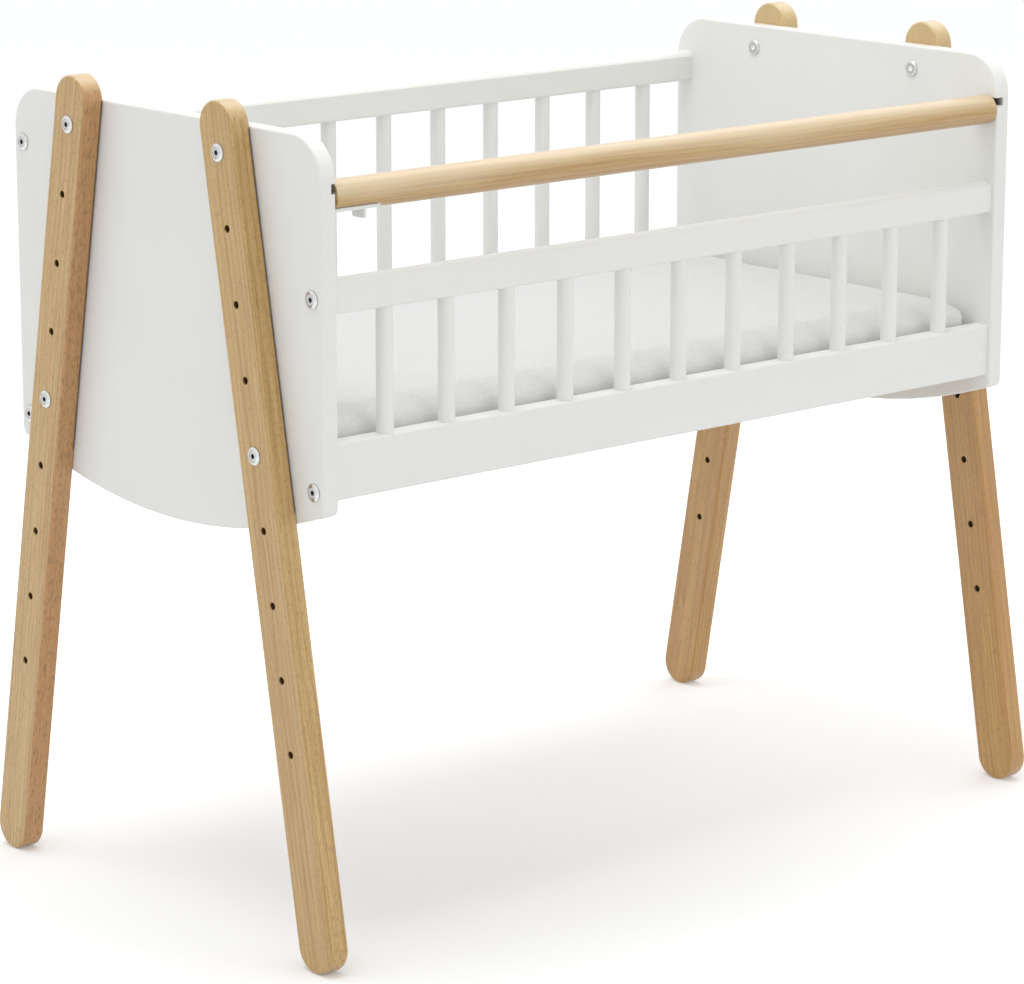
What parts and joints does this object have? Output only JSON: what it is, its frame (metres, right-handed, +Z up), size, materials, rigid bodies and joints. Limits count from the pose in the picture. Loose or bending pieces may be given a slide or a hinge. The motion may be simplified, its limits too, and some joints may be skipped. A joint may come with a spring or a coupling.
{
  "type": "co-sleeping cradle",
  "caption": "Bedside cradle with slatted sides on splayed beech legs, with a latched bar that slides in above its low side.",
  "frame": {"origin": "on the floor, under the middle of the cradle", "axes": "+X along the cradle towards its right end, seen from the low side; -Y towards the adult bed, where the side is low; +Z up"},
  "size_m": [0.8888, 0.5042, 0.745],
  "materials": {
    "white_lacquer": "satin white lacquer",
    "beech": "clear satin lacquer on beech",
    "base_wood": "plain planed wood",
    "mattress_cover": "pale woven cover",
    "zinc_steel": "zinc plated",
    "white_plastic": "moulded"
  },
  "bodies": {
    "cradle": {"left_end_panel": "white_lacquer", "right_end_panel": "white_lacquer", "front_left_leg": "beech", "front_right_leg": "beech", "back_left_leg": "beech", "back_right_leg": "beech", "front_lower_rail": "white_lacquer", "front_upper_rail": "white_lacquer", "front_slat_1": "white_lacquer", "front_slat_2": "white_lacquer", "front_slat_3": "white_lacquer", "front_slat_4": "white_lacquer", "front_slat_5": "white_lacquer", "front_slat_6": "white_lacquer", "front_slat_7": "white_lacquer", "front_slat_8": "white_lacquer", "front_slat_9": "white_lacquer", "front_slat_10": "white_lacquer", "front_slat_11": "white_lacquer", "front_base_batten": "base_wood", "back_lower_rail": "white_lacquer", "back_upper_rail": "white_lacquer", "back_slat_1": "white_lacquer", "back_slat_2": "white_lacquer", "back_slat_3": "white_lacquer", "back_slat_4": "white_lacquer", "back_slat_5": "white_lacquer", "back_slat_6": "white_lacquer", "back_slat_7": "white_lacquer", "back_slat_8": "white_lacquer", "back_slat_9": "white_lacquer", "back_slat_10": "white_lacquer", "back_slat_11": "white_lacquer", "back_base_batten": "base_wood", "base_lath_1": "base_wood", "base_lath_2": "base_wood", "base_lath_3": "base_wood", "base_lath_4": "base_wood", "base_lath_5": "base_wood", "base_lath_6": "base_wood", "base_lath_7": "base_wood", "base_lath_8": "base_wood", "left_leg_bolts": "zinc_steel", "left_leg_sleeve_nuts": "zinc_steel", "left_rail_bolts": "zinc_steel", "right_leg_bolts": "zinc_steel", "right_leg_sleeve_nuts": "zinc_steel", "right_rail_bolts": "zinc_steel", "rail_barrel_nuts": "zinc_steel", "rail_dowels": "base_wood", "batten_screws": "zinc_steel", "lath_screws": "zinc_steel"},
    "top_bar": {"top_bar": "beech", "latch_screws": "zinc_steel"},
    "bar_latch": {"bar_latch": "white_plastic"},
    "mattress": {"mattress": "mattress_cover"}
  },
  "joints": [
    {"name": "bar_slide", "type": "slide", "parent": "cradle", "child": "top_bar", "axis": [0, -1, 0], "range_m": [0, 0.08]},
    {"name": "latch_slide", "type": "slide", "parent": "top_bar", "child": "bar_latch", "axis": [-1, 0, 0], "range_m": [0, 0.007]},
    {"name": "mattress_lift", "type": "slide", "parent": "cradle", "child": "mattress", "axis": [0, 0, 1], "range_m": [0, 0.3]}
  ]
}
